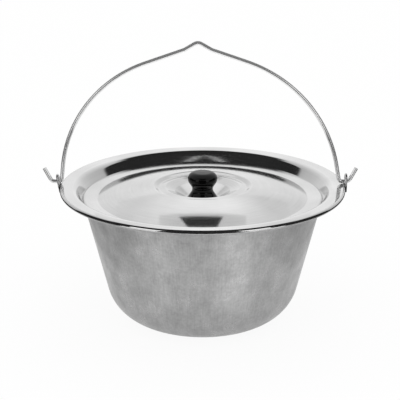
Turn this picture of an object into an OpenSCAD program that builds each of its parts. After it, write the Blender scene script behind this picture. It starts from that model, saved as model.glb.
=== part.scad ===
// Hanging camp kettle: a conical sheet steel pot with a rolled rim, a loose pressed lid with a
// turned knob, two welded wire ears and a bent wire bail.
// The base stands on z = 0, the pot's axis is the Z axis, and the ears lie on the X axis.

/* [Kettle] */
// Diameter over the rolled bead
rim_d = 360; // [330:1:400]
// Height from the ground to the top of the bead
kettle_h = 175; // [150:1:210]
// Diameter where the wall's line meets the base
foot_d = 225; // [200:1:250]
// Radius of the rounded corner between base and wall, on the outside
corner_r = 54; // [30:1:60]
// Thickness of the kettle's sheet
kettle_t = 0.8; // [0.6:0.1:1]
// Diameter of the rolled bead
bead_d = 5.8; // [5:0.1:6.4]
// Width of the flange, from the rim's edge to the brink where it turns down into the lid's seat
flange_w = 19; // [14:0.5:26]
// Depth of the brink below the middle of the bead
brink_drop = 0; // [0:0.5:2]
// Width of the seat, from the brink to the throat where it turns down into the wall
seat_w = 10.25; // [8:0.25:12]
// Slope of the seat, from the horizontal
seat_slope = 55; // [52:1:58]

/* [Lid] */
// How far the lid's edge reaches outside the throat
lid_lap = 0.45; // [0.3:0.05:3]
// Thickness of the lid's sheet
lid_t = 0.7; // [0.5:0.1:1]
// Height of the lid's turned-down edge
skirt_h = 2.6; // [2:0.2:4]
// Depth of the gutter round the dome, below the lid's edge
gutter_drop = 2.1; // [1:0.1:3]
// Distance from the lid's edge to the middle of that gutter
gutter_w = 18.2; // [12:0.2:22]
// Height of the lip round the recess, above the gutter
dome_h = 14.2; // [10:0.2:22]
// Width of the lip's inner slope, down to the channel in the recess
lip_w = 6; // [5:0.5:9]
// Width of the channel between the lip's slope and the raised ring inside it
channel_w = 8.5; // [7:0.5:11]
// Height of the lip above that ring
ring_drop = 2.4; // [1.6:0.2:3]
// Depth of the channel below the ring
channel_drop = 1.4; // [1:0.1:2]
// Width of the step from the ring down to the bowl
step_w = 12.5; // [10:0.5:15]
// Width of the bowl's wall
bowl_w = 13; // [11:0.5:16]
// Width of the flat floor left round the knob's foot
floor_margin = 3.3; // [2:0.1:6]
// Depth of the floor below the lip
recess_depth = 17.4; // [15:0.2:20]
// Height of the bowl above the floor
bowl_h = 10; // [8:0.2:11]

/* [Knob] */
// Height of the knob
knob_h = 33.4; // [30:0.2:40]
// Diameter of the head
head_d = 37; // [33:0.5:40]
// Radius of the head's rounding
head_r = 8.8; // [6:0.2:10]
// Diameter of the neck
neck_d = 26.6; // [22:0.2:28]
// Height of the domed top above its brow
crown_h = 0.6; // [0:0.2:2]
// Radius of the hollow round the neck
neck_r = 7.4; // [5:0.2:8]
// Diameter of the knob's foot
knob_foot_d = 37.4; // [34:0.2:40]
// Slope of the flanks above and below the neck, from the upright
flank = 33; // [28:1:36]
// Thread diameter of the screw
screw_d = 5; // [4:0.5:6]
// How far the screw reaches into the knob
screw_grip = 14; // [10:1:20]
// Diameter of the screw's head
screw_head_d = 9.6; // [8:0.2:11]
// Diameter of the washer under the lid
washer_d = 15; // [12:1:20]
// Thickness of the washer
washer_t = 1.2; // [0.8:0.1:2]
// Height of the screw's head
screw_head_h = 3; // [2.4:0.2:4]
// Width of the slot in the screw's head
slot_w = 1.2; // [0.8:0.1:1.6]

/* [Ears] */
// Diameter of the ears' wire
ear_wire_d = 2.8; // [2.4:0.1:3]
// Play on each side of the bail in its ears
ear_play = 1; // [0.9:0.1:2]
// Free height above the bail in its ears
ear_headroom = 5.3; // [4:0.1:9]
// Depth of the ears' welded ends below the middle of the bead
ear_drop = 7; // [4:0.5:9]
// How far the left ear leans outwards
left_lean = 10; // [9:1:14]
// How far the right ear leans outwards
right_lean = 1; // [0:1:8]

/* [Bail] */
// Diameter of the bail's wire
bail_d = 5; // [4.4:0.1:5.2]
// How far the corners at the bottom of the bail's legs lie inside the rim's edge
leg_inset = 4; // [4:0.5:6]
// How far the bail sits off the middle, towards the left ear
bail_shift = 2.8; // [0:0.1:2.8]
// Height of the bail's top above its axis, to the middle of the wire
bail_rise = 176.6; // [168:0.2:190]
// How far the hump sits off the bail's own middle, the same way
hump_off = 2.8; // [0:0.1:3]
// Width of the hump that the kettle hangs by
hump_w = 34; // [28:1:44]
// Height of the hump
hump_h = 8.7; // [7:0.1:10]
// Slope of the arch where it leaves the hump
arch_slope = 19; // [14:0.5:22]
// How far the left leg spreads outwards at the bottom
left_splay = 7; // [7:0.5:11]
// How far the right leg spreads outwards at the bottom
right_splay = 11; // [7:0.5:13]
// How far the hooked ends reach outside the legs' corners
hook_out = 21.2; // [20:0.2:24]
// Height of the hooked ends above the bail's axis
hook_rise = 17.5; // [12:0.5:20]
// Slope of the hooked ends
hook_slope = 63; // [58:1:75]

/* [Hidden] */
$fn = 96;
// Play round the screw in the lid and in the knob's thread, past its tip, at the lid's seat, at
// the welds of the ears, and between the bail and the rim
hole_play = 0.25;
thread_play = 0.05;
tip_play = 2;
seat_play = 0.1;
weld_play = 0.05;
rim_play = 0.4;
// Bends of the pressed sheet, to the middle of the sheet
throat_r = 4;
brink_r = 6;
floor_r = 4;
bowl_r = 3;
ring_r = 2.5;
groove_r = 4;
lip_r = 4;
gutter_r = 3;
edge_r = 1.4;
// Rounding of the knob's foot
hem_r = 0.6;
// How far a cutting shape runs past what it cuts
past = 1;
// Slope of the dome beside the lip, the share of its width that keeps about that slope, and the
// straight left at its ends
dome_slope = 6;
dome_share = 0.548;
dome_margin = 3;
// How far the sheet goes round in the bead
curl = 312;
// How much narrower the screw's head is at its face
screw_taper = 1.9;
// Bends of the bail's wire, and how much of its shorter side the arch's wide bend takes up
arch_share = 0.82;
apex_r = 9;
kink_r = 6;
pin_r = 4.5;
hook_r = 6;
// Straight wire laps into its bends, and is a hair thinner so that each joint is a flat ring
lap = 0.1;
hair = 0.04;
// Shortest straight left between two bends of a wire
shortest = 0.3;
// Widest flat that an arc may have, as a distance from the true arc and as an angle
arc_error = 0.05;
arc_step = 12;

brink_d = rim_d - 2 * flange_w;
throat_d = brink_d - 2 * seat_w;
lid_d = throat_d + 2 * lid_lap;
gutter_d = lid_d - 2 * gutter_w;
floor_d = knob_foot_d + 2 * floor_margin;
bowl_d = floor_d + 2 * bowl_w;
ring_d = bowl_d + 2 * step_w;
lip_d = ring_d + 2 * (channel_w + lip_w);
ear_gap = bail_d + 2 * ear_play;

bead_z = kettle_h - bead_d / 2;
bead_r = rim_d / 2 - bead_d / 2;
axis_z = kettle_h + rim_play + bail_d / 2;
ear_top_z = axis_z + bail_d / 2 + ear_headroom + ear_wire_d / 2;
throat_z = bead_z - brink_drop - seat_w * tan(seat_slope);
// Where the two slopes of the bail's hump would meet without their bend
peak_z = bail_rise + apex_r * (1 / cos(atan(2 * hump_h / hump_w)) - 1);

// Height of the seat's upper face at a radius
function seat_z(r) = throat_z + (r - throat_d / 2) * tan(seat_slope) + kettle_t / 2 / cos(seat_slope);

edge_z = seat_z(lid_d / 2) + seat_play + skirt_h;
gutter_z = edge_z - gutter_drop;
lip_z = gutter_z + dome_h;
floor_z = lip_z - recess_depth;

// Sheet and turned outlines, as stations of a point and a heading along the middle of the sheet

function left_of(heading) = [-sin(heading), cos(heading)];
function along(heading) = [cos(heading), sin(heading)];
function heading(a, b) = atan2(b[1] - a[1], b[0] - a[0]);
function veer(from, to) = (to - from + 540) % 360 - 180;

// Stations round an arc that starts at a point, with a signed turn
function arc(start, from, swing, r) =
    let (side = sign(swing), centre = start + side * r * left_of(from),
         step = min(arc_step, 2 * acos(1 - arc_error / r)), n = ceil(abs(swing) / step))
    [for (k = [0:n]) let (h = from + swing * k / n) [centre - side * r * left_of(h), h]];

// Stations along straight lines whose inner corners are rounded
function stations(route, bends) =
    let (last = len(route) - 1,
         ways = [for (i = [1:last]) heading(route[i - 1], route[i])])
    [[route[0], ways[0]],
     for (i = [1:last - 1]) let (swing = veer(ways[i - 1], ways[i]))
         each arc(route[i] - bends[i - 1] * tan(abs(swing) / 2) * along(ways[i - 1]),
                  ways[i - 1], swing, bends[i - 1]),
     [route[last], ways[last - 1]]];

// Outline of a sheet of thickness t whose middle follows the stations
function sheet(line, t) = concat(
    [for (s = line) s[0] + t / 2 * left_of(s[1])],
    [for (i = [len(line) - 1:-1:0]) line[i][0] - t / 2 * left_of(line[i][1])]);

// Bent wire: true cylinders between true ring segments, bent at each inner point of a route

function unit(v) = v / norm(v);
function turn(a, b) = acos(max(-1, min(1, unit(a) * unit(b))));
function setback(a, b, r) = r * tan(turn(a, b) / 2);

module placed(at, x, y, z) {
    multmatrix([for (i = [0:2]) [x[i], y[i], z[i], at[i]]]) children();
}

module rod(from, to, d) {
    z = unit(to - from);
    x = unit(cross(abs(z[1]) < 0.9 ? [0, 1, 0] : [1, 0, 0], z));
    placed(from, x, cross(z, x), z) cylinder(d = d, h = norm(to - from));
}

module elbow(start, a, b, r, d) {
    z = unit(cross(a, b));
    x = cross(a, z);
    placed(start - r * x, x, a, z) rotate_extrude(angle = turn(a, b)) translate([r, 0]) circle(d = d);
}

module bent_wire(route, bends, d) {
    last = len(route) - 1;
    ways = [for (i = [1:last]) unit(route[i] - route[i - 1])];
    cuts = [0, for (i = [1:last - 1]) setback(ways[i - 1], ways[i], bends[i - 1]) - lap, 0];
    for (i = [1:last])
        rod(route[i - 1] + cuts[i - 1] * ways[i - 1], route[i] - cuts[i] * ways[i - 1], d - hair);
    for (i = [1:last - 1])
        elbow(route[i] - (cuts[i] + lap) * ways[i - 1], ways[i - 1], ways[i], bends[i - 1], d);
}

// Pot body, drawn from one sheet: base, corner, wall, lid's seat, flange and rolled bead
module kettle() {
    roll_r = (bead_d - kettle_t) / 2;
    brink = [brink_d / 2, bead_z - brink_drop];
    bead = [bead_r, bead_z];
    rise = heading(brink, bead) + asin(roll_r / norm(bead - brink));
    flange_end = bead + roll_r * left_of(rise);
    foot = [foot_d / 2, kettle_t / 2];
    throat = [throat_d / 2, throat_z];
    body = stations([[0, foot[1]], foot, throat, brink, flange_end],
                    [corner_r - kettle_t / 2, throat_r, brink_r]);
    roll = arc(flange_end, rise, -curl, roll_r);
    color("silver") rotate_extrude() polygon(sheet(concat(body, roll), kettle_t));
}

// Pressed lid, lying in the seat on its turned-down edge
module lid() {
    ring = [ring_d / 2, lip_z - ring_drop];
    lip = [lip_d / 2, lip_z];
    gutter = [gutter_d / 2, gutter_z];
    // The dome's shoulder is where the lines of its top and of its foot cross
    shoulder = lip + dome_share * (gutter[0] - lip[0]) * [1, -tan(dome_slope)];
    shorter = min(norm(shoulder - lip), norm(gutter - shoulder)) - dome_margin;
    dome_r = shorter / tan(turn(shoulder - lip, gutter - shoulder) / 2);
    edge = [(lid_d - lid_t) / 2, edge_z];
    route = [[screw_d / 2 + hole_play, floor_z], [floor_d / 2, floor_z], [bowl_d / 2, floor_z + bowl_h],
             ring, ring + [channel_w, -channel_drop], lip, shoulder, gutter, edge,
             edge - [0, skirt_h - lid_t / 2]];
    bends = [floor_r, bowl_r, ring_r, groove_r, lip_r, dome_r, gutter_r, edge_r];
    color("gainsboro") translate([0, 0, -lid_t / 2]) rotate_extrude()
        polygon(sheet(stations(route, bends), lid_t));
}

// Turned knob, standing on the lid's floor, tapped from below
module knob() {
    half = (90 - flank) / 2;
    brow = [head_d / 2 + head_r * (1 / tan(half) - 1), knob_h];
    waist_x = neck_d / 2 - neck_r * (1 / cos(flank) - 1);
    waist = [waist_x, knob_h - (brow[0] - waist_x) / tan(flank)];
    hem = [knob_foot_d / 2, waist[1] - (knob_foot_d / 2 - waist_x) / tan(flank)];
    line = stations([[0, knob_h + crown_h], brow, waist, hem, [hem[0], 0]], [head_r, neck_r, hem_r]);
    color([0.06, 0.06, 0.06]) translate([0, 0, floor_z]) difference() {
        rotate_extrude() polygon(concat([[0, 0]], [for (i = [len(line) - 1:-1:0]) line[i][0]]));
        translate([0, 0, -past])
            cylinder(d = screw_d + 2 * thread_play, h = past + screw_grip + tip_play);
    }
}

// Plain washer that spreads the screw's pull under the lid
module knob_washer() {
    color("lightgray") translate([0, 0, floor_z - lid_t - washer_t]) difference() {
        cylinder(d = washer_d, h = washer_t);
        translate([0, 0, -past]) cylinder(d = screw_d + 2 * hole_play, h = washer_t + 2 * past);
    }
}

// Slotted screw, driven up through washer and lid into the knob
module knob_screw() {
    color("lightgray") translate([0, 0, floor_z - lid_t - washer_t]) difference() {
        union() {
            cylinder(d = screw_d, h = lid_t + washer_t + screw_grip);
            translate([0, 0, -screw_head_h])
                cylinder(d1 = screw_head_d - screw_taper, d2 = screw_head_d, h = screw_head_h);
        }
        translate([-screw_head_d / 2, -slot_w / 2, -screw_head_h - past])
            cube([screw_head_d, slot_w, past + screw_head_h / 2]);
    }
}

// Ear: a staple of wire whose two legs are welded to the outside of the bead
module ear(lean) {
    side = (ear_gap + ear_wire_d) / 2;
    top = ear_top_z - bead_z;
    out = (bead_d + ear_wire_d) / 2 + weld_play;
    color("darkgray") translate([bead_r, 0, bead_z]) rotate([0, lean, 0]) translate([out, 0, 0])
        bent_wire([[0, -side, -ear_drop], [0, -side, top], [0, side, top], [0, side, -ear_drop]],
                  [side - shortest, side - shortest], ear_wire_d);
}

module ear_left() {
    mirror([1, 0, 0]) ear(left_lean);
}

module ear_right() {
    ear(right_lean);
}

// Corners of one half of the bail, from the hump's foot to the hooked end, with the hump off to
// its side by a distance. The shoulder is where the lines of the arch's top and of the leg cross.
function half_bail(off, splay) =
    let (kink = [off + hump_w / 2, bail_rise - hump_h], pin = [rim_d / 2 - leg_inset, 0],
         out = along(-arch_slope), down = along(splay - 90),
         shoulder = kink + cross(pin - kink, down) / cross(out, down) * out,
         tip = pin + [hook_out, hook_rise])
    [kink, shoulder, pin, tip - hook_rise * [1 / tan(hook_slope), 1], tip];

// Radius of the wide bend in one half
function arch_r(half) =
    let (out = half[1] - half[0], down = half[2] - half[1])
    arch_share * min(norm(out), norm(down)) / tan(turn(out, down) / 2);

// Bail: hump, arch, two legs, a straight pin through each ear and a hook outside it
module bail() {
    left = half_bail(hump_off, left_splay);
    right = half_bail(-hump_off, right_splay);
    route = [for (i = [4:-1:0]) [-left[i][0], 0, left[i][1]],
             [-hump_off, 0, peak_z],
             for (p = right) [p[0], 0, p[1]]];
    bends = [hook_r, pin_r, arch_r(left), kink_r, apex_r, kink_r, arch_r(right), pin_r, hook_r];
    color("silver") translate([-bail_shift, 0, axis_z]) bent_wire(route, bends, bail_d);
}

kettle();
lid();
knob();
knob_washer();
knob_screw();
ear_left();
ear_right();
bail();
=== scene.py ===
from math import asin, atan, atan2, ceil, cos, hypot, pi, radians, sin, tan

import bpy
from mathutils import Matrix, Vector, noise


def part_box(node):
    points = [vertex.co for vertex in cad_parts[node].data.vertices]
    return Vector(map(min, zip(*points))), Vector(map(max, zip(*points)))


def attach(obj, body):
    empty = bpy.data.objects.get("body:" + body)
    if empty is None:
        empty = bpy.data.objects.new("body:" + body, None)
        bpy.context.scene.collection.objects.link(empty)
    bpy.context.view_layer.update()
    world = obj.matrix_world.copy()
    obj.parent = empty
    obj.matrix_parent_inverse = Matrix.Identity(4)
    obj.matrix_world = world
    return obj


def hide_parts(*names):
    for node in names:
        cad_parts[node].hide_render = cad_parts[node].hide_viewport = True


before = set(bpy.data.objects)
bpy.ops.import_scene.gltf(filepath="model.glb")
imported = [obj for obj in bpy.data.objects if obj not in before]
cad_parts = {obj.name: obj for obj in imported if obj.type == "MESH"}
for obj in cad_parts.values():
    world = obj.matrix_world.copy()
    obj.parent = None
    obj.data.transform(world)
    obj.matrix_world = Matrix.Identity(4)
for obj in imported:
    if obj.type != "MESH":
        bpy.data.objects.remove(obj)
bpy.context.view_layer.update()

# Kettle: one disc of stainless sheet, drawn into a cone with a wide rounded bottom edge. Its
# flange steps down to a seat for the lid, and its edge is rolled outwards and under into a bead.
# The wall is brushed up and down, and the flange is polished while it spins.
rim_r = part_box("kettle")[1].x
rim_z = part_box("kettle")[1].z
sheet_t = 0.0008
foot_r = 0.1125
corner_bend = 0.054
throat_r = 0.15075
throat_bend = 0.004
throat_drop = 0.01464
brink_r = 0.161
brink_rise = 0.0015
brink_bend = 0.010
bead_d = 0.0058
bead_curl = radians(312)
bead_r = rim_r - bead_d / 2
bead_z = rim_z - bead_d / 2
throat_z = bead_z - throat_drop
wall_ring_gap = 0.004
brushed_r = 0.14
polish_edge = throat_z + 0.0005
polish_tilt = -0.2


def bend(start, heading, swing, radius, widest=radians(5), longest=0.003):
    """Points and headings round a bend, in steps of a few degrees or millimetres."""
    side = 1 if swing > 0 else -1
    centre = (start[0] - side * radius * sin(heading), start[1] + side * radius * cos(heading))
    steps = max(2, ceil(abs(swing) / widest), ceil(abs(swing) * radius / longest))
    line = []
    for k in range(steps + 1):
        h = heading + swing * k / steps
        line.append(((centre[0] + side * radius * sin(h), centre[1] - side * radius * cos(h)), h))
    return line


def press_line(corners, bends):
    """The middle of a pressed sheet: straight lines between corners, bent to a radius at each."""
    headings = [atan2(b[1] - a[1], b[0] - a[0]) for a, b in zip(corners, corners[1:])]
    line = [(corners[0], headings[0])]
    for corner, radius, before, after in zip(corners[1:], bends, headings, headings[1:]):
        swing = (after - before + pi) % (2 * pi) - pi
        reach = radius * tan(abs(swing) / 2)
        start = (corner[0] - reach * cos(before), corner[1] - reach * sin(before))
        line += bend(start, before, swing, radius)
    line.append((corners[-1], headings[-1]))
    return line


def sheet_outline(line, thickness):
    """Outline of a sheet whose middle follows a line: out along its left face, back along its right."""
    half = thickness / 2
    left = [(p[0] - half * sin(h), p[1] + half * cos(h)) for p, h in line]
    right = [(p[0] + half * sin(h), p[1] - half * cos(h)) for p, h in reversed(line)]
    return left + right


def with_rings(outline, longest):
    """The same outline with long straight stretches divided, so that shading stays even."""
    full = []
    for a, b in zip(outline, outline[1:] + outline[:1]):
        reach = (b[0] - a[0], b[1] - a[1])
        parts = max(1, ceil(hypot(*reach) / longest))
        full += [(a[0] + reach[0] * k / parts, a[1] + reach[1] * k / parts) for k in range(parts)]
    return full


def smooth_piece(name, points, faces, sharp_angle=radians(40)):
    """A mesh object with smooth faces and sharp edges where the faces meet at more than an angle."""
    mesh = bpy.data.meshes.new(name)
    mesh.from_pydata(points, [], faces)
    mesh.validate()
    mesh.polygons.foreach_set("use_smooth", [True] * len(mesh.polygons))
    mesh.set_sharp_from_angle(angle=sharp_angle)
    piece = bpy.data.objects.new(name, mesh)
    bpy.context.scene.collection.objects.link(piece)
    return piece


def faces_between(a, b):
    """The faces between two rings of points, as triangles where one of the rings is a single point."""
    faces = []
    for k in range(len(a)):
        corners = [a[k - 1], b[k - 1], b[k], a[k]]
        face = [c for i, c in enumerate(corners) if c != corners[i - 1]]
        if len(face) > 2:
            faces.append(face)
    return faces


def spin(name, outline, around=256):
    """Spins a closed outline of (radius, height) points round the Z axis into one closed mesh."""
    axis_gap = 1e-6
    points, rings = [], []
    for r, z in outline:
        turns = 1 if r < axis_gap else around
        rings.append([len(points) + k % turns for k in range(around)])
        points += [(r * cos(2 * pi * k / turns), r * sin(2 * pi * k / turns), z) for k in range(turns)]
    faces = []
    for a, b in zip(rings, rings[1:] + rings[:1]):
        faces += faces_between(a, b)
    return smooth_piece(name, points, faces)


def add_node(tree, kind, inputs=None, **settings):
    """A shader node with its settings made, and its inputs set or linked."""
    made = tree.nodes.new(kind)
    for name, value in settings.items():
        setattr(made, name, value)
    for name, value in (inputs or {}).items():
        if isinstance(value, bpy.types.NodeSocket):
            tree.links.new(value, made.inputs[name])
        else:
            made.inputs[name].default_value = value
    return made


def maths(tree, operation, *values):
    """The result of one step of arithmetic."""
    return add_node(tree, "ShaderNodeMath", dict(enumerate(values)), operation=operation).outputs[0]


def vectors(tree, operation, inputs, result=0):
    """The result of one step of arithmetic with vectors."""
    return add_node(tree, "ShaderNodeVectorMath", inputs, operation=operation).outputs[result]


def map_range(tree, value, source, target, **settings):
    """Maps a value from one range to another."""
    inputs = {"Value": value, "From Min": source[0], "From Max": source[1], "To Min": target[0],
              "To Max": target[1]}
    return add_node(tree, "ShaderNodeMapRange", inputs, **settings).outputs["Result"]


def spread(tree, value, low, high):
    """Maps a noise value, which mostly lies between 0.3 and 0.7, to a range."""
    return map_range(tree, value, (0.3, 0.7), (low, high), clamp=False)


def mixed(tree, *shares):
    """The sum of some values, each of them by its share."""
    total = maths(tree, "MULTIPLY", *shares[0])
    for share in shares[1:]:
        total = maths(tree, "ADD", total, maths(tree, "MULTIPLY", *share))
    return total


def grey_between(tree, value, dark, light):
    """A grey of a colour ramp from dark to light, by a value from 0 to 1."""
    ramp = add_node(tree, "ShaderNodeValToRGB", {"Fac": value})
    ramp.color_ramp.elements[0].color = (dark, dark, dark, 1)
    ramp.color_ramp.elements[1].color = (light, light, light, 1)
    return ramp.outputs["Color"]


def finish_for(name, metallic):
    """A material, its node tree, its shader, and the place on the piece as x, y, z."""
    material = bpy.data.materials.new(name)
    material.use_nodes = True
    tree = material.node_tree
    shader = tree.nodes["Principled BSDF"]
    shader.inputs["Metallic"].default_value = metallic
    place = add_node(tree, "ShaderNodeTexCoord").outputs["Object"]
    return material, tree, shader, place


def link_up(tree, shader, values):
    """Links values to the shader's sockets by their names."""
    for socket, value in values.items():
        tree.links.new(value, shader.inputs[socket])


def out_from_axis(tree, place):
    """The direction out from the Z axis as a unit vector, and the distance from it."""
    flat = vectors(tree, "MULTIPLY", {0: place, 1: (1, 1, 0)})
    return vectors(tree, "NORMALIZE", {0: flat}), vectors(tree, "LENGTH", {0: flat}, "Value")


def height_on(tree, place):
    """The height of a place."""
    return add_node(tree, "ShaderNodeSeparateXYZ", {0: place}).outputs["Z"]


def cloud(tree, place, size, detail=3):
    """Soft noise with patches of a size in metres."""
    made = add_node(tree, "ShaderNodeTexNoise", {"Vector": place, "Scale": 1 / size, "Detail": detail})
    return made.outputs["Fac"]


def streaks(tree, way, way_scale, run, run_size, detail=3):
    """Noise drawn out into streaks: fine across one direction, and coarse along the other."""
    side = vectors(tree, "SCALE", {0: way, "Scale": way_scale})
    along = add_node(tree, "ShaderNodeCombineXYZ", {"Z": maths(tree, "DIVIDE", run, run_size)}).outputs[0]
    return cloud(tree, vectors(tree, "ADD", {0: side, 1: along}), 1, detail)


def dented(tree, height, depth, under=None):
    """A surface dented by a height value, to a depth in metres, over another dented surface if given."""
    inputs = {"Height": height, "Distance": depth, "Strength": 1}
    if under:
        inputs["Normal"] = under
    return add_node(tree, "ShaderNodeBump", inputs).outputs["Normal"]


def brushed_steel(name, shades, gloss, grain_w=0.0011, grain_l=0.022, patch=0.02, fleck=0.003,
                  grain_depth=0.00002):
    """Satin sheet, brushed up and down: streaks along the wall over soft cloudy patches."""
    material, tree, shader, place = finish_for(name, metallic=1)
    way, _ = out_from_axis(tree, place)
    grain = streaks(tree, way, brushed_r / grain_w, height_on(tree, place), grain_l, detail=4)
    patches = cloud(tree, place, patch, detail=5)
    tone = mixed(tree, (grain, 0.3), (patches, 0.4), (cloud(tree, place, fleck), 0.3))
    link_up(tree, shader, {"Base Color": grey_between(tree, spread(tree, tone, 0, 1), *shades),
                           "Roughness": spread(tree, patches, *gloss),
                           "Normal": dented(tree, grain, grain_depth)})
    return material


def polished_steel(name, shades, gloss, ring_gap=0.0012, ring_turns=1.5, ring_depth=0.000002,
                   haze=0.06, wave=0.07, wave_depth=0.0003):
    """Sheet polished while it spins: faint rings, and a surface that is never quite even."""
    material, tree, shader, place = finish_for(name, metallic=1)
    way, out = out_from_axis(tree, place)
    reach = maths(tree, "ADD", out, height_on(tree, place))
    rings = streaks(tree, way, ring_turns, reach, ring_gap)
    tone = mixed(tree, (rings, 0.3), (cloud(tree, place, haze, detail=2), 0.7))
    uneven = dented(tree, cloud(tree, place, wave, detail=1), wave_depth)
    link_up(tree, shader, {"Base Color": grey_between(tree, spread(tree, tone, 0, 1), *shades),
                           "Roughness": spread(tree, rings, *gloss),
                           "Normal": dented(tree, rings, ring_depth, under=uneven)})
    return material


roll_r = (bead_d - sheet_t) / 2
flange_w = bead_r - brink_r
flange_rise = asin(roll_r / hypot(flange_w, brink_rise)) - atan(brink_rise / flange_w)
flange_end = (bead_r - roll_r * sin(flange_rise), bead_z + roll_r * cos(flange_rise))
kettle_corners = [(0, sheet_t / 2), (foot_r, sheet_t / 2), (throat_r, throat_z),
                  (brink_r, bead_z + brink_rise), flange_end]
kettle_line = press_line(kettle_corners, [corner_bend - sheet_t / 2, throat_bend, brink_bend])
kettle_line += bend(flange_end, flange_rise, -bead_curl, roll_r)[1:]
kettle = spin("kettle_sheet", with_rings(sheet_outline(kettle_line, sheet_t), wall_ring_gap))
kettle.data.materials.append(brushed_steel("brushed_wall", shades=(0.28, 0.50), gloss=(0.34, 0.26)))
kettle.data.materials.append(polished_steel("polished_flange", shades=(0.67, 0.81), gloss=(0.07, 0.11)))
for face in kettle.data.polygons:
    face.material_index = 1 if face.center.z > polish_edge and face.normal.z > polish_tilt else 0
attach(kettle, "kettle")
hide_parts("kettle")

# Ears: on each side a staple of steel wire, its two legs welded to the outside of the bead. The
# wire's lower part is darker, near black at its foot. The left ear leans out, the right hardly.
ear_wire_r = 0.0014
ear_gap = 0.007
ear_top = 0.0164 - ear_wire_r
ear_drop = 0.007
left_lean = radians(10)
right_lean = radians(1)
weld_play = 0.00005
shortest_straight = 0.0003
dark_foot = bead_z - 0.001
dark_top = bead_z + 0.004
weld_size = (0.0012, 0.0020, 0.0026)
weld_out = bead_d / 2 + 0.0002
weld_z = -0.0004


def wire_line(route, bends, widest=radians(6), longest=0.004):
    """Points and directions along straight wire that is bent at each inner point of a route."""
    ways = [(b - a).normalized() for a, b in zip(route, route[1:])]
    line = [(route[0], ways[0])]
    for corner, radius, before, after in zip(route[1:], bends, ways, ways[1:]):
        swing = before.angle(after)
        axis = before.cross(after).normalized()
        start = corner - radius * tan(swing / 2) * before
        centre = start + radius * axis.cross(before)
        steps = max(3, ceil(swing / widest), ceil(swing * radius / longest))
        for k in range(steps + 1):
            turned = Matrix.Rotation(swing * k / steps, 3, axis)
            line.append((centre + turned @ (start - centre), turned @ before))
    line.append((route[-1], ways[-1]))
    return line


def wire_piece(name, line, radius, side_way, sides=20, bevel=0.0003):
    """Round wire along a line that lies in one plane, its cut ends slightly bevelled."""
    (first, first_way), (last, last_way) = line[0], line[-1]
    rings = [(first, first_way, radius - bevel), (first + bevel * first_way, first_way, radius)]
    rings += [(point, way, radius) for point, way in line[1:-1]]
    rings += [(last - bevel * last_way, last_way, radius), (last, last_way, radius - bevel)]
    points, faces = [], []
    for point, way, r in rings:
        across = way.cross(side_way).normalized()
        for k in range(sides):
            turn = 2 * pi * k / sides
            points.append(point + r * (cos(turn) * side_way + sin(turn) * across))
    for i in range(len(rings) - 1):
        for k in range(sides):
            faces.append([i * sides + k, i * sides + (k + 1) % sides,
                          (i + 1) * sides + (k + 1) % sides, (i + 1) * sides + k])
    faces.append([sides - 1 - k for k in range(sides)])
    faces.append([len(points) - sides + k for k in range(sides)])
    return smooth_piece(name, points, faces)


def darkened_wire(name, shades, spot=0.003, spot_depth=0.0001, ragged=0.001, foot_rough=0.5, cleared=0.3):
    """Drawn wire, near black and rougher at its foot, clearing upwards."""
    material, tree, shader, place = finish_for(name, metallic=1)
    spots = cloud(tree, place, spot)
    height = maths(tree, "ADD", height_on(tree, place), spread(tree, spots, -ragged, ragged))
    clear = map_range(tree, height, (dark_foot, dark_top), (0, 1))
    roughness = maths(tree, "SUBTRACT", foot_rough, maths(tree, "MULTIPLY", clear, cleared))
    link_up(tree, shader, {"Base Color": grey_between(tree, clear, *shades), "Roughness": roughness,
                           "Normal": dented(tree, spots, spot_depth)})
    return material


def weld_piece(name, seats, size, uneven=0.16, lumps=2, apart=900, rings=10, sides=16):
    """Lumps of weld metal, one at each seat. Noise that is read far apart makes no two alike."""
    points, faces = [], []
    for seat in seats:
        loops = []
        for i in range(rings + 1):
            tilt = pi * i / rings
            turns = 1 if i in (0, rings) else sides
            loops.append([len(points) + k % turns for k in range(sides)])
            for k in range(turns):
                turn = 2 * pi * k / sides
                way = Vector((sin(tilt) * cos(turn), sin(tilt) * sin(turn), cos(tilt)))
                lump = 1 + uneven * noise.noise(way * lumps + seat * apart)
                points.append(seat + Vector([a * b * lump for a, b in zip(way, size)]))
        for a, b in zip(loops, loops[1:]):
            faces += faces_between(a, b)
    return smooth_piece(name, points, faces)


ear_finish = darkened_wire("darkened_wire", shades=(0.04, 0.72))
ear_half = ear_gap / 2 + ear_wire_r
ear_out = bead_d / 2 + ear_wire_r + weld_play
staple_bend = ear_half - shortest_straight
staple_route = ((-ear_half, -ear_drop), (-ear_half, ear_top), (ear_half, ear_top), (ear_half, -ear_drop))
for side, lean, ear_node in ((-1, left_lean, "ear_left"), (1, right_lean, "ear_right")):
    stand = Matrix.Translation((side * bead_r, 0, bead_z)) @ Matrix.Rotation(side * lean, 4, "Y")
    route = [stand @ Vector((side * ear_out, y, z)) for y, z in staple_route]
    ear = wire_piece(f"{ear_node}_staple", wire_line(route, [staple_bend] * 2), ear_wire_r,
                     stand.to_3x3() @ Vector((1, 0, 0)))
    ear.data.materials.append(ear_finish)
    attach(ear, "kettle")
    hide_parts(ear_node)
    seats = [stand @ Vector((side * weld_out, y, weld_z)) for y in (-ear_half, ear_half)]
    weld = weld_piece(f"{ear_node}_weld", seats, weld_size)
    weld.data.materials.append(ear_finish)
    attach(weld, "kettle")

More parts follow.
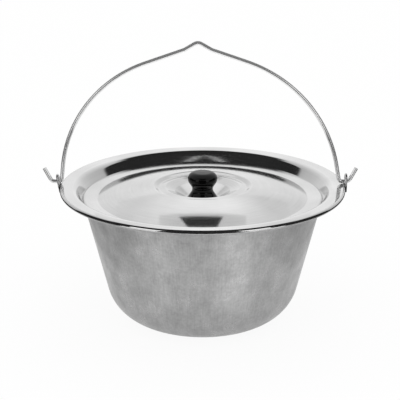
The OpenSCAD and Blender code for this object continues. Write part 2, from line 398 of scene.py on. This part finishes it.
# Lid: one disc of stainless sheet, pressed into a low dome with a turned-down edge, a gutter
# round its foot and a stepped recess for the knob, then polished while it spins. It only rests
# in the kettle's seat.
lid_t = 0.0007
lid_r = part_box("lid")[1].x
skirt_h = 0.0026
skirt_bend = 0.0014
gutter_drop = 0.0021
gutter_r = 0.133
gutter_bend = 0.003
dome_h = 0.0142
dome_slope = radians(6)
dome_share = 0.548
dome_margin = 0.003
lip_r = 0.062
lip_bend = 0.004
channel_w = 0.0085
channel_drop = 0.0014
channel_bend = 0.004
ring_r = 0.0475
ring_drop = 0.0024
ring_bend = 0.0025
bowl_r = 0.035
bowl_h = 0.010
bowl_bend = 0.003
lid_floor_r = 0.022
lid_floor_bend = 0.004
recess_depth = 0.0174
hole_r = 0.00275
lid_ring_gap = 0.003
lid_floor_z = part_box("knob")[0].z
lip_z = lid_floor_z + recess_depth
gutter_z = lip_z - dome_h
edge_r = lid_r - lid_t / 2
edge_z = gutter_z + gutter_drop
shoulder_reach = dome_share * (gutter_r - lip_r)
shoulder = (lip_r + shoulder_reach, lip_z - shoulder_reach * tan(dome_slope))
foot_slope = atan2(shoulder[1] - gutter_z, gutter_r - shoulder[0])
shorter = min(shoulder_reach / cos(dome_slope), (gutter_r - shoulder[0]) / cos(foot_slope)) - dome_margin
dome_bend = shorter / tan((foot_slope - dome_slope) / 2)
lid_corners = [(hole_r, lid_floor_z), (lid_floor_r, lid_floor_z), (bowl_r, lid_floor_z + bowl_h),
               (ring_r, lip_z - ring_drop), (ring_r + channel_w, lip_z - ring_drop - channel_drop),
               (lip_r, lip_z), shoulder, (gutter_r, gutter_z), (edge_r, edge_z),
               (edge_r, edge_z - skirt_h + lid_t / 2)]
lid_bends = [lid_floor_bend, bowl_bend, ring_bend, channel_bend, lip_bend, dome_bend, gutter_bend,
             skirt_bend]
lid_line = [((r, z - lid_t / 2), h) for (r, z), h in press_line(lid_corners, lid_bends)]
lid = spin("lid_sheet", with_rings(sheet_outline(lid_line, lid_t), lid_ring_gap))
lid.data.materials.append(polished_steel("polished_lid", shades=(0.61, 0.75), gloss=(0.10, 0.16)))
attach(lid, "kettle")
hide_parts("lid")

# Knob: turned from black heat-proof plastic and polished, with a round head, a waist for the
# fingers and a foot that stands on the lid's floor. A screw from below holds it.
knob_h = 0.0334
crown_h = 0.0006
head_r = 0.0185
head_bend = 0.0088
neck_r = 0.0133
neck_bend = 0.0074
knob_foot_r = 0.0187
flank = radians(33)
hem_bend = 0.0006
knob_ring_gap = 0.0015


def glossy_plastic(name, shades, gloss, mark=0.006, wave=0.012, wave_depth=0.00005, shine=0.16):
    """Black phenolic plastic off the polishing wheel, with a few faint marks of use."""
    material, tree, shader, place = finish_for(name, metallic=0)
    marks = cloud(tree, place, mark)
    shader.inputs["Specular IOR Level"].default_value = shine
    link_up(tree, shader, {"Base Color": grey_between(tree, marks, *shades),
                           "Roughness": spread(tree, marks, *gloss),
                           "Normal": dented(tree, cloud(tree, place, wave, detail=1), wave_depth)})
    return material


brow_r = head_r + head_bend * (1 / tan((pi / 2 - flank) / 2) - 1)
waist_r = neck_r - neck_bend * (1 / cos(flank) - 1)
waist_z = knob_h - (brow_r - waist_r) / tan(flank)
hem_z = waist_z - (knob_foot_r - waist_r) / tan(flank)
knob_corners = [(0, knob_h + crown_h), (brow_r, knob_h), (waist_r, waist_z), (knob_foot_r, hem_z),
                (knob_foot_r, 0)]
knob_line = press_line(knob_corners, [head_bend, neck_bend, hem_bend])
knob_outline = [(r, lid_floor_z + z) for (r, z), _ in knob_line] + [(0, lid_floor_z)]
knob = spin("knob_turned", with_rings(knob_outline, knob_ring_gap), around=128)
knob.data.materials.append(glossy_plastic("black_plastic", shades=(0.0005, 0.003), gloss=(0.08, 0.13)))
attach(knob, "kettle")
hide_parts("knob")

# Screw and washer: plain bright steel, under the lid, where only an open kettle would show them.
# The solids have their full form, so they stay and only take a finish.


def bright_steel(name, shades, gloss, grain=0.0008):
    """Turned steel of small fixings, evenly bright with a fine grain."""
    material, tree, shader, place = finish_for(name, metallic=1)
    grains = cloud(tree, place, grain)
    link_up(tree, shader, {"Base Color": grey_between(tree, grains, *shades),
                           "Roughness": spread(tree, grains, *gloss)})
    return material


fixing_finish = bright_steel("bright_fixings", shades=(0.5, 0.7), gloss=(0.25, 0.4))
for fixing in ("knob_washer", "knob_screw"):
    fixing_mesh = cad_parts[fixing].data
    fixing_mesh.materials.clear()
    fixing_mesh.materials.append(fixing_finish)

# Bail: one length of 5 mm spring wire, bent cold to an arch with a hump at its top for a hook,
# two straight legs, a pin through each ear and an upturned end that keeps it there.
bail_wire_r = 0.0025
rim_play = 0.0004
bail_shift = 0.0028
bail_rise = 0.1766
hump_off = 0.0028
hump_half = 0.017
hump_h = 0.0087
apex_bend = 0.009
kink_bend = 0.006
arch_slope = radians(19)
arch_share = 0.82
left_splay = radians(7)
right_splay = radians(11)
pin_half = 0.176
pin_bend = 0.0045
hook_half = 0.1972
hook_rise = 0.0175
hook_slope = radians(63)
hook_bend = 0.006
bail_axis_z = rim_z + bail_wire_r + rim_play


def drawn_wire(name, shades, gloss, patch=0.02, mark=0.006, mark_depth=0.000005):
    """Bright drawn wire: fine marks and a slightly uneven grey."""
    material, tree, shader, place = finish_for(name, metallic=0.8)
    tone = spread(tree, cloud(tree, place, patch), 0.2, 0.8)
    marks = cloud(tree, place, mark)
    link_up(tree, shader, {"Base Color": grey_between(tree, tone, *shades),
                           "Roughness": spread(tree, marks, *gloss),
                           "Normal": dented(tree, marks, mark_depth)})
    return material


def meeting(point_a, slope_a, point_b, slope_b):
    """Where two lines meet, each given by a point and a slope in the bail's plane."""
    way_a, way_b = (cos(slope_a), sin(slope_a)), (cos(slope_b), sin(slope_b))
    gap = (point_b[0] - point_a[0], point_b[1] - point_a[1])
    reach = (gap[0] * way_b[1] - gap[1] * way_b[0]) / (way_a[0] * way_b[1] - way_a[1] * way_b[0])
    return point_a[0] + reach * way_a[0], point_a[1] + reach * way_a[1]


def half_bail(hump_out, splay):
    """Corners of one half of the bail, from the hump's foot to the hook's tip, and its arch's radius."""
    kink = (hump_out + hump_half, bail_rise - hump_h)
    pin = (pin_half, 0)
    top = meeting(kink, -arch_slope, pin, splay - pi / 2)
    side = min(hypot(top[0] - kink[0], top[1] - kink[1]), hypot(top[0] - pin[0], top[1] - pin[1]))
    arch_bend = arch_share * side / tan((pi / 2 - splay - arch_slope) / 2)
    elbow = (hook_half - hook_rise / tan(hook_slope), 0)
    return [kink, top, pin, elbow, (hook_half, hook_rise)], arch_bend


peak = bail_rise + apex_bend * (1 / cos(atan(hump_h / hump_half)) - 1)
left_half, left_bend = half_bail(hump_off, left_splay)
right_half, right_bend = half_bail(-hump_off, right_splay)
bail_corners = [(-x, z) for x, z in reversed(left_half)] + [(-hump_off, peak)] + right_half
bail_route = [Vector((x - bail_shift, 0, bail_axis_z + z)) for x, z in bail_corners]
bail_bends = [hook_bend, pin_bend, left_bend, kink_bend, apex_bend, kink_bend, right_bend, pin_bend,
              hook_bend]
bail = wire_piece("bail_wire", wire_line(bail_route, bail_bends), bail_wire_r, Vector((0, 1, 0)), sides=24)
bail.data.materials.append(drawn_wire("drawn_wire", shades=(0.74, 0.88), gloss=(0.11, 0.14)))
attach(bail, "bail")
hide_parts("bail")

# Table: a wide sheet of matt white paper under the kettle. It shows the camera its own white with
# a faint shadow, and the metal half of that. It lies a hair lower than the kettle's base.
table_half = 12
table_z = -0.0002
table_shade = 0.95
table_uneven = 0.004
table_patch = 0.5
white_to_camera = 0.92
white_to_metal = 0.5


def flat_card(name, corners, height, finish):
    """A level card with its corners at points in the plan, for the floor or for a reflection."""
    card = smooth_piece(name, [(x, y, height) for x, y in corners], [list(range(len(corners)))])
    card.data.materials.append(finish)
    return card


def oblong(left, front, right, back):
    """The four corners of an oblong in the plan."""
    return [(left, front), (right, front), (right, back), (left, back)]


def paper_finish(name, shade):
    """Matt white paper, faintly uneven, that gives off its own white towards camera and metal."""
    material, tree, shader, place = finish_for(name, metallic=0)
    patches = cloud(tree, place, table_patch)
    link_up(tree, shader, {"Base Color": grey_between(tree, patches, shade - table_uneven,
                                                      shade + table_uneven)})
    shader.inputs["Roughness"].default_value = 0.9
    shader.inputs["Specular IOR Level"].default_value = 0
    white = add_node(tree, "ShaderNodeEmission", {"Strength": 1.0}).outputs[0]
    rays = add_node(tree, "ShaderNodeLightPath").outputs
    share = mixed(tree, (rays["Is Camera Ray"], white_to_camera), (rays["Is Glossy Ray"], white_to_metal))
    both = add_node(tree, "ShaderNodeMixShader", {0: share, 1: shader.outputs[0], 2: white}).outputs[0]
    tree.links.new(both, tree.nodes["Material Output"].inputs["Surface"])
    return material


flat_card("table", oblong(-table_half, -table_half, table_half, table_half), table_z,
          paper_finish("white_table", table_shade))

# Floor for the metal: level cards just over the table that only the metal sees. They are dark in
# front and far out to the sides, with a grey strip on each side of the white paper and four lit
# patches in front, given by their corners in the plan and their brightness.
paper_half = 0.235
paper_front = -0.39
grey_half = 0.40
dark_floor = 0.02
grey_floor = 0.72
floor_z = 0.0005
patch_z = 0.001


def for_metal_only(card):
    """Hides a card from all but the metal's reflections."""
    card.visible_camera = False
    card.visible_diffuse = False
    card.visible_shadow = False
    card.visible_transmission = False


def lit_card(name, middle, edge, middle_r=0.03, edge_r=0.12, patch=0.2, darkest=0.94):
    """A lit card: one brightness round the Z axis, another further out, and faintly uneven."""
    material, tree, _, place = finish_for(name, metallic=0)
    _, out = out_from_axis(tree, place)
    uneven = grey_between(tree, cloud(tree, place, patch), darkest, 1.0)
    fade = map_range(tree, out, (middle_r, edge_r), (middle, edge), interpolation_type="SMOOTHSTEP")
    light = add_node(tree, "ShaderNodeEmission", {"Color": uneven, "Strength": fade}).outputs[0]
    tree.links.new(light, tree.nodes["Material Output"].inputs["Surface"])
    return material


dark_room = lit_card("dark_room", dark_floor, dark_floor)
grey_room = lit_card("grey_room", grey_floor, grey_floor)
room_floors = {
    "dark_floor_front": (oblong(-table_half, -table_half, table_half, paper_front), dark_room),
    "dark_floor_left": (oblong(-table_half, paper_front, -grey_half, table_half), dark_room),
    "dark_floor_right": (oblong(grey_half, paper_front, table_half, table_half), dark_room),
    "grey_floor_left": (oblong(-grey_half, paper_front, -paper_half, table_half), grey_room),
    "grey_floor_right": (oblong(paper_half, paper_front, grey_half, table_half), grey_room)}
for name, (corners, finish) in room_floors.items():
    for_metal_only(flat_card(name, corners, floor_z, finish))

lit_floors = {
    "lit_floor_far_left": ([(-0.25, -0.43), (-0.60, -1.04), (-1.02, -0.64), (-0.42, -0.27)], 1.2),
    "lit_floor_far_right": ([(0.25, -0.43), (0.60, -1.04), (1.02, -0.64), (0.42, -0.27)], 1.2),
    "lit_floor_left": ([(-0.07, -0.16), (-0.10, -0.14), (-0.18, -0.21), (-0.14, -0.25)], 1.15),
    "lit_floor_right": ([(0.03, -0.18), (0.08, -0.31), (0.20, -0.25), (0.10, -0.13)], 1.2)}
for name, (corners, brightness) in lit_floors.items():
    for_metal_only(flat_card(name, corners, patch_z, lit_card(name, brightness, brightness)))

# Cards over the lid: a white card hangs low over the lid, brightest round the knob, with a grey
# and a dark card under its front edge. Only the metal sees them: the polished dome mirrors a white
# ceiling with a dark gap in it. Each has a brightness for its middle and one for its edge.
lid_card_z = rim_z + 0.05
card_gap = 0.0005
cards_over_lid = {
    "lid_card": (oblong(-0.14, -0.10, 0.14, 0.077), 1.15, 0.85),
    "grey_patch": (oblong(-0.065, -0.084, 0.065, -0.035), 0.8, 0.8),
    "dark_patch": ([(-0.021, -0.083), (0.021, -0.083), (0.0305, -0.0465), (-0.0350, -0.0465)], 0.03, 0.03)}
for below, (name, (corners, middle, edge)) in enumerate(cards_over_lid.items()):
    for_metal_only(flat_card(name, corners, lid_card_z - below * card_gap, lit_card(name, middle, edge)))

# Room: its light is white and even for all but the metal. The metal sees a sweep of white paper
# that rises behind the kettle, greyer towards its sides, in a dark room.
room_light = 1.0
room_dark = 0.02
sweep_top = radians(52)
sweep_top_soft = radians(4)
sweep_half = radians(66)
sweep_half_soft = radians(2)
sweep_white = 0.98
sweep_fade = 0.42


def inside(tree, value, limit, softness):
    """One below a limit and nought above it, with a soft edge."""
    return map_range(tree, value, (limit - softness, limit + softness), (1, 0),
                     interpolation_type="SMOOTHSTEP")


world = bpy.data.worlds.new("room")
bpy.context.scene.world = world
world.use_nodes = True
room = world.node_tree
look = add_node(room, "ShaderNodeSeparateXYZ", {0: add_node(room, "ShaderNodeTexCoord").outputs["Generated"]})
across, away, upward = look.outputs
level = maths(room, "SQRT", mixed(room, (across, across), (away, away)))
climb = maths(room, "ARCTAN2", upward, level)
aside = maths(room, "ABSOLUTE", maths(room, "ARCTAN2", across, away))
on_sweep = maths(room, "MULTIPLY", inside(room, climb, sweep_top, sweep_top_soft),
                 inside(room, aside, sweep_half, sweep_half_soft))
sweep_shade = maths(room, "SUBTRACT", sweep_white, maths(room, "MULTIPLY", aside, sweep_fade))
seen_by_metal = maths(room, "ADD", room_dark, maths(room, "MULTIPLY", on_sweep, sweep_shade))
for_metal = add_node(room, "ShaderNodeLightPath").outputs["Is Glossy Ray"]
strength = add_node(room, "ShaderNodeMix", {"Factor": for_metal, "A": room_light, "B": seen_by_metal})
background = room.nodes["Background"]
background.inputs["Color"].default_value = (1, 1, 1, 1)
room.links.new(strength.outputs["Result"], background.inputs["Strength"])

# Soft boxes: two large and weak area lamps in front, to the left and right of the camera. They put
# the soft glints on the wall, the bead and the wire.
box_far = 1.5
box_w = 0.6
box_h = 0.8
box_watts = 1.9
box_climb = radians(15)
box_aim = Vector((0, 0, 0.15))
for name, bearing in (("soft_box_left", radians(-42)), ("soft_box_right", radians(39))):
    way = Vector((sin(bearing) * cos(box_climb), -cos(bearing) * cos(box_climb), sin(box_climb)))
    lamp = bpy.data.lights.new(name, "AREA")
    lamp.shape = "RECTANGLE"
    lamp.size = box_w
    lamp.size_y = box_h
    lamp.energy = box_watts
    box = bpy.data.objects.new(name, lamp)
    box.location = box_aim + box_far * way
    box.rotation_euler = way.to_track_quat("Z", "Y").to_euler()
    bpy.context.scene.collection.objects.link(box)

# Camera: looks down on the rim from the front, at the angle that the rim's ellipse gives. Its
# shift sets the kettle a little off the middle of the frame, as in the photograph.
image_side = 400
focal_px = 1052.2
aim_px = (202.55, 185.57)
camera_far = 1.3372
camera_tilt = radians(17.21)
lens = bpy.data.cameras.new("camera")
lens.sensor_width = 36
lens.lens = lens.sensor_width * focal_px / image_side
lens.shift_x = (image_side / 2 - aim_px[0]) / image_side
lens.shift_y = (aim_px[1] - image_side / 2) / image_side
camera = bpy.data.objects.new("camera", lens)
camera.location = (0, -camera_far * cos(camera_tilt), bead_z + camera_far * sin(camera_tilt))
camera.rotation_euler = (pi / 2 - camera_tilt, 0, 0)
bpy.context.scene.collection.objects.link(camera)
bpy.context.scene.camera = camera
bpy.context.scene.view_settings.view_transform = "Standard"
